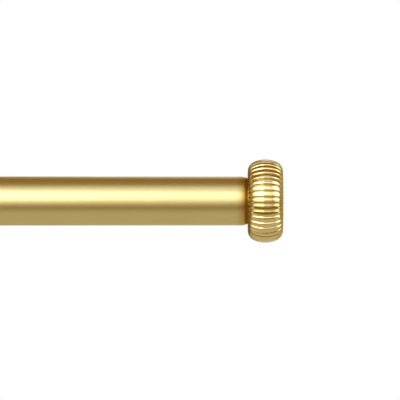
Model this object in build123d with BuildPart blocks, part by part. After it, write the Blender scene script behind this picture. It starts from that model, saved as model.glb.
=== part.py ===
from build123d import *
from math import asin, cos, pi, radians, sin, sqrt
import os

# All lengths in millimetres. X runs along the rod from its middle, Z is up.

# Rod tube, with both ends rolled inwards to a short lip
rod_diameter = 25.4
tube_wall = 0.8
tube_length = 711.0
lip_length = 3.5
lip_roll_radius = 7.0

# Drum finial, crowned across its width and reeded all round
finial_diameter = 43.4
finial_width = 18.3
crown_drop = 6.4
shoulder_radius = 5.6
rib_count = 39
rib_depth = 0.75
rib_top_share = 0.6
rib_turn = 0.6
crown_steps = 3
shoulder_steps = 4

# Stud that joins a finial to the plug held in the tube end
stud_diameter = 6.0
stud_length = 25.0
stud_into_finial = 12.0
stud_end_gap = 0.5
socket_across_flats = 3.0
socket_depth = 3.0
thread_clearance = 0.05

# Six-sided plug behind the rolled lip
plug_length = 16.0
plug_clearance = 0.05

rod_radius = rod_diameter / 2
bore_radius = rod_radius - tube_wall
tube_end = tube_length / 2
lip_start = tube_end - lip_length
roll_centre = rod_radius - lip_roll_radius
lip_outer = roll_centre + sqrt(lip_roll_radius**2 - lip_length**2)
lip_inner = roll_centre + sqrt((lip_roll_radius - tube_wall) ** 2 - lip_length**2)
stud_radius = stud_diameter / 2
hole_radius = stud_radius + thread_clearance
half_width = finial_width / 2
crest_radius = finial_diameter / 2
face_radius = crest_radius - crown_drop
rib_pitch = 360 / rib_count

# The crown is three tangent arcs: a wide one over the middle and one round each shoulder
shoulder_reach = half_width - shoulder_radius
crown_rise = crown_drop - shoulder_radius
crown_radius = (shoulder_reach**2 + crown_drop**2 - shoulder_radius**2) / (2 * crown_rise)
join_angle = asin(shoulder_reach / (crown_radius - shoulder_radius))


def crown_section(angle):
    """Axial position and crest radius where the crown's surface has turned by angle from the radial."""
    if angle <= join_angle:
        return crown_radius * sin(angle), crest_radius - crown_radius * (1 - cos(angle))
    return shoulder_reach + shoulder_radius * sin(angle), face_radius + shoulder_radius * cos(angle)


def reeded_outline(radius):
    """Points of a section with rib tops at radius: two top edges on each rib and a valley between ribs."""
    valley = radius * (1 - rib_depth / crest_radius)
    points = []
    for rib in range(rib_count):
        for share, reach in ((-rib_top_share / 2, radius), (rib_top_share / 2, radius), (0.5, valley)):
            turn = radians(rib_turn + (rib + share) * rib_pitch)
            points.append((-reach * cos(turn), reach * sin(turn)))
    return points


# Sections are set by how far the surface has turned, so they are closest together round the shoulders
crown_turns = [join_angle * step / crown_steps for step in range(crown_steps)]
shoulder_turn = pi / 2 - join_angle
shoulder_turns = [join_angle + shoulder_turn * step / shoulder_steps for step in range(shoulder_steps + 1)]
half_sections = [crown_section(turn) for turn in crown_turns + shoulder_turns]
finial_sections = [(-x, radius) for x, radius in reversed(half_sections[1:])] + half_sections

os.makedirs("parts", exist_ok=True)

with BuildPart() as rod_tube:
    with BuildSketch(Plane.XZ):
        with BuildLine():
            Line((-lip_start, rod_radius), (lip_start, rod_radius))
            RadiusArc((lip_start, rod_radius), (tube_end, lip_outer), lip_roll_radius)
            Line((tube_end, lip_outer), (tube_end, lip_inner))
            Line((tube_end, lip_inner), (lip_start, bore_radius))
            Line((lip_start, bore_radius), (-lip_start, bore_radius))
            Line((-lip_start, bore_radius), (-tube_end, lip_inner))
            Line((-tube_end, lip_inner), (-tube_end, lip_outer))
            RadiusArc((-tube_end, lip_outer), (-lip_start, rod_radius), lip_roll_radius)
        make_face()
    revolve(axis=Axis.X)
rod_tube.part.label = "rod_tube"
export_step(rod_tube.part, "parts/rod_tube.step")

for name, side in (("left", -1), ("right", 1)):
    with BuildPart() as finial:
        for x, radius in finial_sections:
            with BuildSketch(Plane.YZ.offset(side * (tube_end + half_width) + x)):
                with BuildLine():
                    Polyline(*reeded_outline(radius), close=True)
                make_face()
        loft(ruled=True)
        with BuildSketch(Plane.YZ.offset(side * tube_end)):
            Circle(hole_radius)
        extrude(amount=side * (stud_into_finial + stud_end_gap), mode=Mode.SUBTRACT)
    finial.part.label = f"{name}_finial"
    export_step(finial.part, f"parts/{name}_finial.step")

    with BuildPart() as plug:
        with BuildSketch(Plane.YZ.offset(side * lip_start)):
            RegularPolygon(bore_radius - plug_clearance, 6)
            Circle(hole_radius, mode=Mode.SUBTRACT)
        extrude(amount=-side * plug_length)
    plug.part.label = f"{name}_plug"
    export_step(plug.part, f"parts/{name}_plug.step")

    with BuildPart() as stud:
        with BuildSketch(Plane.YZ.offset(side * (tube_end + stud_into_finial))):
            Circle(stud_radius)
        extrude(amount=-side * stud_length)
        with BuildSketch(Plane.YZ.offset(side * (tube_end + stud_into_finial - stud_length))):
            RegularPolygon(socket_across_flats / 2, 6, major_radius=False)
        extrude(amount=side * socket_depth, mode=Mode.SUBTRACT)
    stud.part.label = f"{name}_stud"
    export_step(stud.part, f"parts/{name}_stud.step")
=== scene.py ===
import math

import bpy
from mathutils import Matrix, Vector


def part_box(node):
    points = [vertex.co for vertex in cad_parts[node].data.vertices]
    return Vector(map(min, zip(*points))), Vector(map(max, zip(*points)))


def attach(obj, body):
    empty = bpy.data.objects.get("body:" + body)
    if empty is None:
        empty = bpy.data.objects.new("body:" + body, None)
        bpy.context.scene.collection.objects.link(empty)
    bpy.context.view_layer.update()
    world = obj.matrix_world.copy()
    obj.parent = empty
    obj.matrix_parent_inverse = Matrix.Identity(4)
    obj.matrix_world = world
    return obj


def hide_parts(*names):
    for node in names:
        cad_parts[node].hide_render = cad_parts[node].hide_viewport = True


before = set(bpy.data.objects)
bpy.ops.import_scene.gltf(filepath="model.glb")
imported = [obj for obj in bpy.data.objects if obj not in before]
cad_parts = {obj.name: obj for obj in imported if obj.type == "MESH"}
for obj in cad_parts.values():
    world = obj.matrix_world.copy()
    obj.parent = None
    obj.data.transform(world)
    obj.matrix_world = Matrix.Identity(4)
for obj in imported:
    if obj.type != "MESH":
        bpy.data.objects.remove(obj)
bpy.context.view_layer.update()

MM = 0.001

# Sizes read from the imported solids, in metres
tube_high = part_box("rod_tube")[1]
finial_low, finial_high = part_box("right_finial")
TUBE_END = tube_high.x
ROD_RADIUS = tube_high.z
HALF_WIDTH = (finial_high.x - finial_low.x) / 2

# Wall and rolled lip of the tube, as in the solids
TUBE_WALL = 0.8 * MM
LIP_LENGTH = 3.5 * MM
LIP_ROLL = 7.0 * MM

# Crown, ribs and stud hole of a finial, as in the solids
CREST = 21.7 * MM
CROWN_DROP = 6.4 * MM
SHOULDER = 5.6 * MM
RIB_COUNT = 39
RIB_TURN = math.radians(0.6)
RIB_PITCH = 2 * math.pi / RIB_COUNT
HOLE_RADIUS = 3.05 * MM
HOLE_DEPTH = 12.5 * MM

# Section of a reed, in half pitches: where its crest ends, how round that edge is,
# how steep the flank is and how far the crest bows
REED_EDGE = 0.7
REED_ROUND = 0.08
REED_SLOPE = 0.85
REED_BOW = 0.085

# The reeds fade out over this span of the surface's tilt
FADE_START = math.radians(60)
FADE_SPAN = math.radians(28)

# Shallow dish round the tube's seat in the finial's inner face
SEAT_RADIUS = 12.0 * MM
DISH_RADIUS = 12.6 * MM
DISH_DEPTH = 1.5 * MM

# Fineness of the meshes: steps round or along each form, points across half a reed in shares of
# a pitch, and rings on a finial's outer face in shares of its radius
ROD_COLUMNS = 192
STRAIGHT_STEPS = 24
LIP_STEPS = 14
CROWN_STEPS = 18
HALF_REED = (0, 0.12, 0.21, 0.27, 0.31, 0.335, 0.36, 0.385, 0.42, 0.46)
FACE_RINGS = (0.95, 0.6, 0.25)

# Edges that bend by more degrees than this stay crisp
ROD_CRISP = 35
FINIAL_CRISP = 40


# Node trees
def set_inputs(tree, node, inputs):
    """Give each input a value, or a link from another node's output."""
    for key, value in inputs.items():
        if isinstance(value, bpy.types.NodeSocket):
            tree.links.new(value, node.inputs[key])
        else:
            node.inputs[key].default_value = value


def add_node(tree, kind, inputs, **settings):
    """A new shader node with its settings and inputs."""
    node = tree.nodes.new("ShaderNode" + kind)
    for name, setting in settings.items():
        setattr(node, name, setting)
    set_inputs(tree, node, inputs)
    return node


def ramp(tree, value, stops):
    """Colours between (position, colour) stops, as value goes from 0 to 1."""
    node = add_node(tree, "ValToRGB", {"Fac": value})
    elements = node.color_ramp.elements
    elements.remove(elements[1])
    elements[0].position = stops[0][0]
    elements[0].color = (*stops[0][1], 1)
    for position, colour in stops[1:]:
        elements.new(position).color = (*colour, 1)
    return node.outputs["Color"]


def map_range(tree, value, low, high, new_low=0.0, new_high=1.0):
    inputs = {"Value": value, "From Min": low, "From Max": high, "To Min": new_low, "To Max": new_high}
    return add_node(tree, "MapRange", inputs).outputs["Result"]


def product(tree, first, second):
    """One colour multiplied by another."""
    inputs = {"Factor": 1.0, "A": first, "B": second}
    return add_node(tree, "Mix", inputs, data_type="RGBA", blend_type="MULTIPLY").outputs["Result"]


def object_coords(tree):
    return add_node(tree, "TexCoord", {}).outputs["Object"]


# Noise textures: the range of most of their values, then the mottle and the grain of the gold
NOISE_LOW = 0.3
NOISE_HIGH = 0.7
MOTTLE_SCALE = 60
MOTTLE_DETAIL = 4
GRAIN_DETAIL = 6
GRAIN_HEIGHT = 0.05 * MM
ROUGHNESS_SPREAD = 0.02

# Nylon plugs and steel studs. At this scale the bands of the thread are a millimetre apart.
NYLON_SCALE = 900
NYLON_DARK = (0.02, 0.02, 0.02)
NYLON_LIGHT = (0.05, 0.05, 0.05)
NYLON_ROUGHNESS = 0.55
STEEL_COLOUR = (0.56, 0.56, 0.57, 1)
STEEL_ROUGHNESS = 0.3
THREAD_SCALE = 314
THREAD_HEIGHT = 0.5 * MM

# Painted shade and painted reflection of the finial's gold, darkening the lacquer's colour into the joint:
# millimetres past the tube's end, and the tint there
ROD_JOINT_SHADE = (
    (-6.0, (1, 1, 1)),
    (-4.1, (0.88, 0.83, 0.78)),
    (-3.1, (0.82, 0.73, 0.54)),
    (-2.1, (0.85, 0.7, 0.36)),
    (-1.0, (0.95, 0.74, 0.28)),
    (0, (0.92, 0.63, 0.14)),
)
# Painted shade on the finial's inner face and shoulder, next to the tube
FINIAL_JOINT_SHADE = (
    (0, (0.75, 0.5, 0.12)),
    (0.25, (0.34, 0.22, 0.04)),
    (0.6, (0.36, 0.25, 0.06)),
    (1.1, (0.66, 0.55, 0.36)),
    (1.6, (1, 1, 1)),
)


# Materials
def new_material(name):
    """A material, its node tree and its main shader."""
    material = bpy.data.materials.new(name)
    material.use_nodes = True
    tree = material.node_tree
    return material, tree, tree.nodes["Principled BSDF"]


def gold(name, light, dark, roughness, grain_scale, grain_relief, joint_shade):
    """Lacquered gold with a fine grain, mottled between two tones, with painted shade and reflection towards
    the joint.
    """
    material, tree, shader = new_material(name)
    coords = object_coords(tree)
    mottle = add_node(tree, "TexNoise", {"Vector": coords, "Scale": MOTTLE_SCALE, "Detail": MOTTLE_DETAIL})
    tone = ramp(tree, mottle.outputs["Fac"], ((NOISE_LOW, dark), (NOISE_HIGH, light)))

    # Painted shade and reflection: the colour darkens towards the joint between tube and finial
    along = add_node(tree, "SeparateXYZ", {"Vector": coords}).outputs["X"]
    from_middle = add_node(tree, "Math", {0: along}, operation="ABSOLUTE").outputs["Value"]
    first = joint_shade[0][0]
    last = joint_shade[-1][0]
    to_joint = map_range(tree, from_middle, TUBE_END + first * MM, TUBE_END + last * MM)
    tint = ramp(tree, to_joint, [((place - first) / (last - first), colour) for place, colour in joint_shade])

    noise = add_node(tree, "TexNoise", {"Vector": coords, "Scale": grain_scale, "Detail": GRAIN_DETAIL})
    grain = noise.outputs["Fac"]
    smoothest = roughness - ROUGHNESS_SPREAD
    roughest = roughness + ROUGHNESS_SPREAD
    relief = add_node(tree, "Bump", {"Height": grain, "Strength": grain_relief, "Distance": GRAIN_HEIGHT})
    set_inputs(tree, shader, {
        "Metallic": 1.0,
        "Base Color": product(tree, tone, tint),
        "Roughness": map_range(tree, grain, NOISE_LOW, NOISE_HIGH, smoothest, roughest),
        "Normal": relief.outputs["Normal"],
    })
    return material


def nylon():
    material, tree, shader = new_material("black_nylon")
    noise = add_node(tree, "TexNoise", {"Scale": NYLON_SCALE})
    tone = ramp(tree, noise.outputs["Fac"], ((0, NYLON_DARK), (1, NYLON_LIGHT)))
    set_inputs(tree, shader, {"Base Color": tone, "Roughness": NYLON_ROUGHNESS})
    return material


def threaded_steel():
    material, tree, shader = new_material("threaded_steel")
    thread = add_node(tree, "TexWave", {"Vector": object_coords(tree), "Scale": THREAD_SCALE})
    relief = add_node(tree, "Bump", {"Height": thread.outputs["Fac"], "Distance": THREAD_HEIGHT})
    set_inputs(tree, shader, {
        "Metallic": 1.0,
        "Base Color": STEEL_COLOUR,
        "Roughness": STEEL_ROUGHNESS,
        "Normal": relief.outputs["Normal"],
    })
    return material


satin = gold(
    "satin_gold",
    light=(0.7, 0.6, 0.295),
    dark=(0.68, 0.58, 0.275),
    roughness=0.36,
    grain_scale=4000,
    grain_relief=0.15,
    joint_shade=ROD_JOINT_SHADE,
)
polished = gold(
    "polished_gold",
    light=(0.78, 0.65, 0.325),
    dark=(0.76, 0.625, 0.305),
    roughness=0.12,
    grain_scale=2500,
    grain_relief=0.05,
    joint_shade=FINIAL_JOINT_SHADE,
)


# Meshes: a piece is a skin over rings of points about the rod's axis
def mesh_object(name, verts, faces, material):
    mesh = bpy.data.meshes.new(name)
    mesh.from_pydata(verts, [], faces)
    mesh.materials.append(material)
    obj = bpy.data.objects.new(name, mesh)
    bpy.context.scene.collection.objects.link(obj)
    return obj


def axis_point(x, radius, turn):
    """A point at a turn about the axis, from the camera's side over the top."""
    return x, -radius * math.cos(turn), radius * math.sin(turn)


def circle(x, radius, turns):
    return [axis_point(x, radius, turn) for turn in turns]


def skin(name, rings, crisp, material, closed=False):
    """A smooth piece with faces from each ring to the next. A ring of one point closes an end."""
    columns = max(len(ring) for ring in rings)
    verts = []
    rows = []
    for ring in rings:
        rows.append([len(verts) + column % len(ring) for column in range(columns)])
        verts += ring
    pairs = list(zip(rows, rows[1:]))
    if closed:
        pairs.append((rows[-1], rows[0]))
    faces = []
    for near, far in pairs:
        for column in range(columns):
            beside = (column + 1) % columns
            corners = (near[column], near[beside], far[beside], far[column])
            # A corner that repeats, at a ring of one point, is dropped
            faces.append(list(dict.fromkeys(corners)))
    obj = mesh_object(name, verts, faces, material)
    obj.data.shade_smooth()
    obj.data.set_sharp_from_angle(angle=math.radians(crisp))
    return obj


# Rod: the tube with its rolled lips
def rod_profile():
    """(x, radius) points round the section of the wall, in the order that turns its faces outwards."""
    lip_start = TUBE_END - LIP_LENGTH
    roll_centre = ROD_RADIUS - LIP_ROLL
    lip_inner = roll_centre + math.sqrt((LIP_ROLL - TUBE_WALL) ** 2 - LIP_LENGTH**2)
    bore = ROD_RADIUS - TUBE_WALL
    roll = math.asin(LIP_LENGTH / LIP_ROLL)
    right = [(lip_start * step / STRAIGHT_STEPS, ROD_RADIUS) for step in range(STRAIGHT_STEPS)]
    for step in range(LIP_STEPS + 1):
        angle = roll * step / LIP_STEPS
        right.append((lip_start + LIP_ROLL * math.sin(angle), roll_centre + LIP_ROLL * math.cos(angle)))
    right += [(TUBE_END, lip_inner), (lip_start, bore), (lip_start / 2, bore), (0, bore)]
    left = [(-x, radius) for x, radius in right[1:-1]]
    return left + right[::-1]


rod_turns = [2 * math.pi * column / ROD_COLUMNS for column in range(ROD_COLUMNS)]
rod_rings = [circle(x, radius, rod_turns) for x, radius in rod_profile()]
rod = skin("rod", rod_rings, ROD_CRISP, satin, closed=True)
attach(rod, "root")
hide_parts("rod_tube")


# Finials: a crowned drum with rounded reeds
def crown_rows():
    """(x, radius, tilt) rows along the crests, from one face to the other.

    Tilt is how far the surface's normal leans along the rod.
    """
    reach = HALF_WIDTH - SHOULDER
    crown = (reach**2 + CROWN_DROP**2 - SHOULDER**2) / (2 * (CROWN_DROP - SHOULDER))
    join = math.asin(reach / (crown - SHOULDER))
    shoulder_centre = CREST - CROWN_DROP
    half = []
    for step in range(CROWN_STEPS + 1):
        tilt = join * step / CROWN_STEPS
        half.append((crown * math.sin(tilt), CREST - crown * (1 - math.cos(tilt)), tilt))
    for step in range(1, CROWN_STEPS + 1):
        tilt = join + (math.pi / 2 - join) * step / CROWN_STEPS
        half.append((reach + SHOULDER * math.sin(tilt), shoulder_centre + SHOULDER * math.cos(tilt), tilt))
    return [(-x, radius, -tilt) for x, radius, tilt in reversed(half[1:])] + half


def reed_depth(share):
    """Depth below the crest, in half pitches, at a share of a pitch from the middle of a reed.

    The crest is bowed, and rounds over into straight flanks.
    """
    across = abs(2 * share)
    past_edge = math.hypot(across - REED_EDGE, REED_ROUND) - math.hypot(REED_EDGE, REED_ROUND) + across
    return REED_BOW * across**2 + REED_SLOPE * past_edge / 2


def reed_strength(tilt):
    """Share of the reeds' depth that is left at a tilt of the surface."""
    faded = min(1, max(0, (abs(tilt) - FADE_START) / FADE_SPAN))
    return 1 - faded**2


def make_finial(name, cad_node, side):
    """One finial. Side is 1 at the right end of the rod and -1 at the left."""
    # Columns of points from the valley before a reed to its far flank
    shares = [-0.5] + [-share for share in reversed(HALF_REED[1:])] + list(HALF_REED)
    turns = [RIB_TURN + (rib + share) * RIB_PITCH for rib in range(RIB_COUNT) for share in shares]
    depths = [reed_depth(share) * RIB_PITCH / 2 for share in shares] * RIB_COUNT
    middle = side * (TUBE_END + HALF_WIDTH)
    inner_face = middle - side * HALF_WIDTH
    outer_face = middle + side * HALF_WIDTH
    hole_end = inner_face + side * HOLE_DEPTH

    rings = [
        [axis_point(hole_end, 0, 0)],
        circle(hole_end, HOLE_RADIUS, turns),
        circle(inner_face, HOLE_RADIUS, turns),
        circle(inner_face, SEAT_RADIUS, turns),
        circle(inner_face + side * DISH_DEPTH, DISH_RADIUS, turns),
    ]
    for x, radius, tilt in crown_rows():
        reed_size = radius * reed_strength(tilt)
        ring = []
        for turn, depth in zip(turns, depths):
            inward = depth * reed_size
            place = middle + side * (x - inward * math.sin(tilt))
            ring.append(axis_point(place, radius - inward * math.cos(tilt), turn))
        rings.append(ring)
    for share in FACE_RINGS:
        rings.append(circle(outer_face, (CREST - CROWN_DROP) * share, turns))
    rings.append([axis_point(outer_face, 0, 0)])

    # The order of the rings turns the faces outwards, so the two sides take opposite orders
    obj = skin(name, rings[::-side], FINIAL_CRISP, polished)
    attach(obj, "root")
    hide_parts(cad_node)


make_finial("reeded_finial_right", "right_finial", 1)
make_finial("reeded_finial_left", "left_finial", -1)

# Plugs and studs keep their solids' shapes
for piece, material in (("plug", nylon()), ("stud", threaded_steel())):
    for side in ("left", "right"):
        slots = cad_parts[f"{side}_{piece}"].data.materials
        slots.clear()
        slots.append(material)


# Lights: a curved softbox and glowing cards, which the camera doesn't see
WALL_STEPS = 48
SEAM_TURN = 20
WHITE = (1, 1, 1)
IVORY = (1, 0.92, 0.78)
CREAM = (1, 0.83, 0.55)
AMBER = (1, 0.75, 0.38)

# Stops of the softbox: degrees to the right of the camera's side, or above the rod,
# then the share of its brightness and the tint
SOFTBOX_ACROSS = (
    (-104, 0.03, AMBER), (-94, 0.08, AMBER), (-84, 0.14, AMBER), (-75, 0.2, CREAM), (-66, 0.28, IVORY),
    (-58, 0.4, WHITE), (-50, 0.58, WHITE), (-40, 0.78, WHITE), (-30, 0.92, WHITE), (-11, 0.95, WHITE),
    (-5, 0.42, WHITE), (20, 0.38, WHITE), (30, 0.28, WHITE), (38, 0.4, WHITE), (46, 0.87, WHITE),
    (63, 0.87, WHITE), (75, 0.38, WHITE), (86, 0.13, WHITE), (96, 0.08, WHITE),
)
SOFTBOX_UPWARD = (
    (-12, 0.21, AMBER), (-5, 0.36, CREAM), (2, 0.56, IVORY), (10, 1, WHITE), (39, 1, WHITE),
    (47, 0.55, WHITE), (56, 0.15, WHITE),
)


def glow_material(name):
    """A material that only glows, its node tree and its emission shader."""
    material = bpy.data.materials.new(name)
    material.use_nodes = True
    tree = material.node_tree
    tree.nodes.clear()
    glow = add_node(tree, "Emission", {})
    add_node(tree, "OutputMaterial", {"Surface": glow.outputs["Emission"]})
    return material, tree, glow


def light_object(name, verts, faces, material):
    obj = mesh_object(name, verts, faces, material)
    obj.visible_camera = False
    return obj


def card(name, azimuth, elevation, distance, size, colour):
    """A flat card that faces the joint, at degrees to the right of the camera's side and above the rod."""
    turn = math.radians(azimuth)
    lift = math.radians(elevation)
    away = Vector((math.sin(turn) * math.cos(lift), -math.cos(turn) * math.cos(lift), math.sin(lift)))
    across = Vector((math.cos(turn), math.sin(turn), 0))
    centre = Vector((TUBE_END, 0, 0)) + away * distance
    half_across = across * size[0] / 2
    half_up = away.cross(across) * size[1] / 2
    bottom = centre - half_up
    top = centre + half_up
    corners = [bottom - half_across, bottom + half_across, top + half_across, top - half_across]
    material, tree, glow = glow_material(name)
    set_inputs(tree, glow, {"Color": (*colour, 1)})
    light_object(name, corners, [(0, 1, 2, 3)], material)


def light_wall(name, distance, brightness, across, upward):
    """An upright curved softbox round the finial, with stops for its evenness across and upward."""
    def rise(degrees):
        return distance * math.tan(math.radians(degrees))

    def tone(share, tint):
        return [share * channel for channel in tint]

    left = across[0][0]
    right = across[-1][0]
    low = rise(upward[0][0])
    high = rise(upward[-1][0])
    verts = []
    for step in range(WALL_STEPS + 1):
        turn = math.radians(left + (right - left) * step / WALL_STEPS)
        verts += [(distance * math.sin(turn), -distance * math.cos(turn), z) for z in (low, high)]
    faces = [(i, i + 2, i + 3, i + 1) for i in range(0, 2 * WALL_STEPS, 2)]

    material, tree, glow = glow_material(name)
    coords = object_coords(tree)
    # The gradient starts on the left, turned back so that its seam is past the wall's end
    turned = add_node(tree, "Mapping", {"Vector": coords, "Rotation": (0, 0, math.radians(SEAM_TURN))})
    gradient = add_node(tree, "TexGradient", {"Vector": turned.outputs["Vector"]}, gradient_type="RADIAL")
    across_stops = [((place + 90 + SEAM_TURN) / 360, tone(share, tint)) for place, share, tint in across]
    sideways = ramp(tree, gradient.outputs["Fac"], across_stops)
    height = map_range(tree, add_node(tree, "SeparateXYZ", {"Vector": coords}).outputs["Z"], low, high)
    upward_stops = [((rise(place) - low) / (high - low), tone(share, tint)) for place, share, tint in upward]
    upright = ramp(tree, height, upward_stops)
    set_inputs(tree, glow, {"Color": product(tree, sideways, upright), "Strength": brightness})
    wall = light_object(name, verts, faces, material)
    wall.location = (TUBE_END + HALF_WIDTH, 0, 0)


light_wall("front_softbox", distance=1.2, brightness=4.0, across=SOFTBOX_ACROSS, upward=SOFTBOX_UPWARD)
card("warm_mat", azimuth=0, elevation=-90, distance=0.77, size=(3.0, 3.2), colour=(0.62, 0.55, 0.42))
card("low_flag", azimuth=0, elevation=-29, distance=0.9, size=(3.0, 0.45), colour=(0.26, 0.145, 0.02))
card("top_flag", azimuth=0, elevation=104, distance=0.8, size=(2.6, 1.02), colour=(0.31, 0.17, 0.02))
card("right_flag", azimuth=130, elevation=0, distance=1.0, size=(1.6, 4.0), colour=(0.46, 0.34, 0.18))
card("left_flag", azimuth=-130, elevation=0, distance=1.0, size=(2.0, 4.0), colour=(0.42, 0.32, 0.16))

# Floor and world: pale where they are seen, with a plain level of light on the object
FLOOR_REACH = 4.0
FLOOR_HEIGHT = -0.8
FLOOR_COLOUR = (0.93, 0.91, 0.86, 1)
FLOOR_ROUGHNESS = 0.8
FLOOR_SEEN_COLOUR = (0.94, 0.93, 0.91, 1)
FLOOR_SEEN_SHARE = 0.8
WORLD_LIGHT = 0.45
WORLD_SEEN = 1.0


def seen_directly(tree):
    """1 for what the camera, a reflection or a see-through surface shows, and 0 for light on the object."""
    path = add_node(tree, "LightPath", {})
    seen = path.outputs["Is Camera Ray"]
    for kind in ("Is Glossy Ray", "Is Transmission Ray"):
        either = add_node(tree, "Math", {0: seen, 1: path.outputs[kind]}, operation="ADD", use_clamp=True)
        seen = either.outputs["Value"]
    return seen


def pale_floor():
    material, tree, shader = new_material("pale_floor")
    set_inputs(tree, shader, {"Base Color": FLOOR_COLOUR, "Roughness": FLOOR_ROUGHNESS})
    paleness = add_node(tree, "Math", {0: seen_directly(tree), 1: FLOOR_SEEN_SHARE}, operation="MULTIPLY")
    glow = add_node(tree, "Emission", {"Color": FLOOR_SEEN_COLOUR})
    mixed = add_node(tree, "MixShader", {
        "Fac": paleness.outputs["Value"],
        1: shader.outputs["BSDF"],
        2: glow.outputs["Emission"],
    })
    set_inputs(tree, tree.nodes["Material Output"], {"Surface": mixed.outputs["Shader"]})
    return material


floor_corners = [
    (-FLOOR_REACH, -FLOOR_REACH, FLOOR_HEIGHT),
    (FLOOR_REACH, -FLOOR_REACH, FLOOR_HEIGHT),
    (FLOOR_REACH, FLOOR_REACH, FLOOR_HEIGHT),
    (-FLOOR_REACH, FLOOR_REACH, FLOOR_HEIGHT),
]
floor = mesh_object("floor", floor_corners, [(0, 1, 2, 3)], pale_floor())

world = bpy.data.worlds.new("studio")
world.use_nodes = True
world_tree = world.node_tree
set_inputs(world_tree, world_tree.nodes["Background"], {
    "Color": (*WHITE, 1),
    "Strength": map_range(world_tree, seen_directly(world_tree), 0.0, 1.0, WORLD_LIGHT, WORLD_SEEN),
})
bpy.context.scene.world = world

# Camera: level, square on to the rod, with a long lens. The rod spans 49 of the picture's 400 pixels.
PICTURE_PIXELS = 400
ROD_PIXELS = 49.0
VIEW_WIDTH = PICTURE_PIXELS * 2 * ROD_RADIUS / ROD_PIXELS
CAMERA_ALONG = 330.78 * MM
CAMERA_DISTANCE = 2.5
CAMERA_HEIGHT = 0.52 * MM
SENSOR_WIDTH = 36

camera_data = bpy.data.cameras.new("camera")
camera_data.sensor_width = SENSOR_WIDTH
camera_data.lens = SENSOR_WIDTH * CAMERA_DISTANCE / VIEW_WIDTH
camera = bpy.data.objects.new("camera", camera_data)
camera.location = (CAMERA_ALONG, -CAMERA_DISTANCE, CAMERA_HEIGHT)
camera.rotation_euler = (math.pi / 2, 0, 0)
bpy.context.scene.collection.objects.link(camera)
bpy.context.scene.camera = camera
bpy.context.scene.view_settings.view_transform = "Standard"
